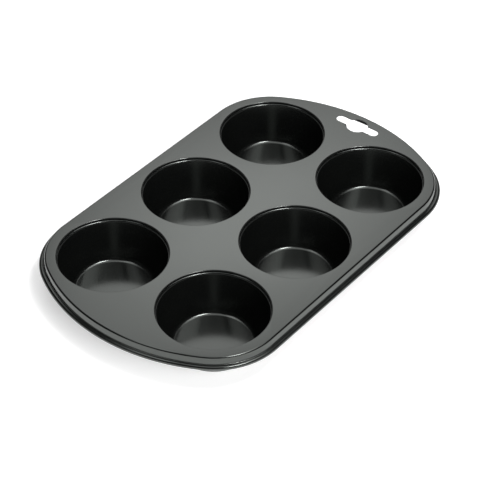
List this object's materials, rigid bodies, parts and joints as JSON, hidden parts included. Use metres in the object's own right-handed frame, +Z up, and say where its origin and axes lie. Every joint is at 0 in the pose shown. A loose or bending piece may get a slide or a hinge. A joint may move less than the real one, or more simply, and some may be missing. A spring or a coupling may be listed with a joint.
{
  "type": "muffin pan",
  "caption": "Shallow metal baking pan: a plate with bowed ends, a wired rim and a hanging hole, and round tapered cups locked into it for muffins or cupcakes.",
  "frame": {"origin": "on the table under the middle of the pan: centre of the bounding box's bottom, level with the undersides of the cups' floors", "axes": "+X along the pan's length, towards the end with the hanging hole; +Y across it; +Z up, out of the cups' mouths"},
  "size_m": [0.2736, 0.1736, 0.0279],
  "materials": {
    "plate_coating": "satin non-stick coating",
    "cup_coating": "satin non-stick coating",
    "wire_steel": "drawn wire"
  },
  "bodies": {
    "root": {"top_plate": "plate_coating", "rim_wire": "wire_steel", "cup_1": "cup_coating", "cup_2": "cup_coating", "cup_3": "cup_coating", "cup_4": "cup_coating", "cup_5": "cup_coating", "cup_6": "cup_coating"}
  },
  "joints": []
}
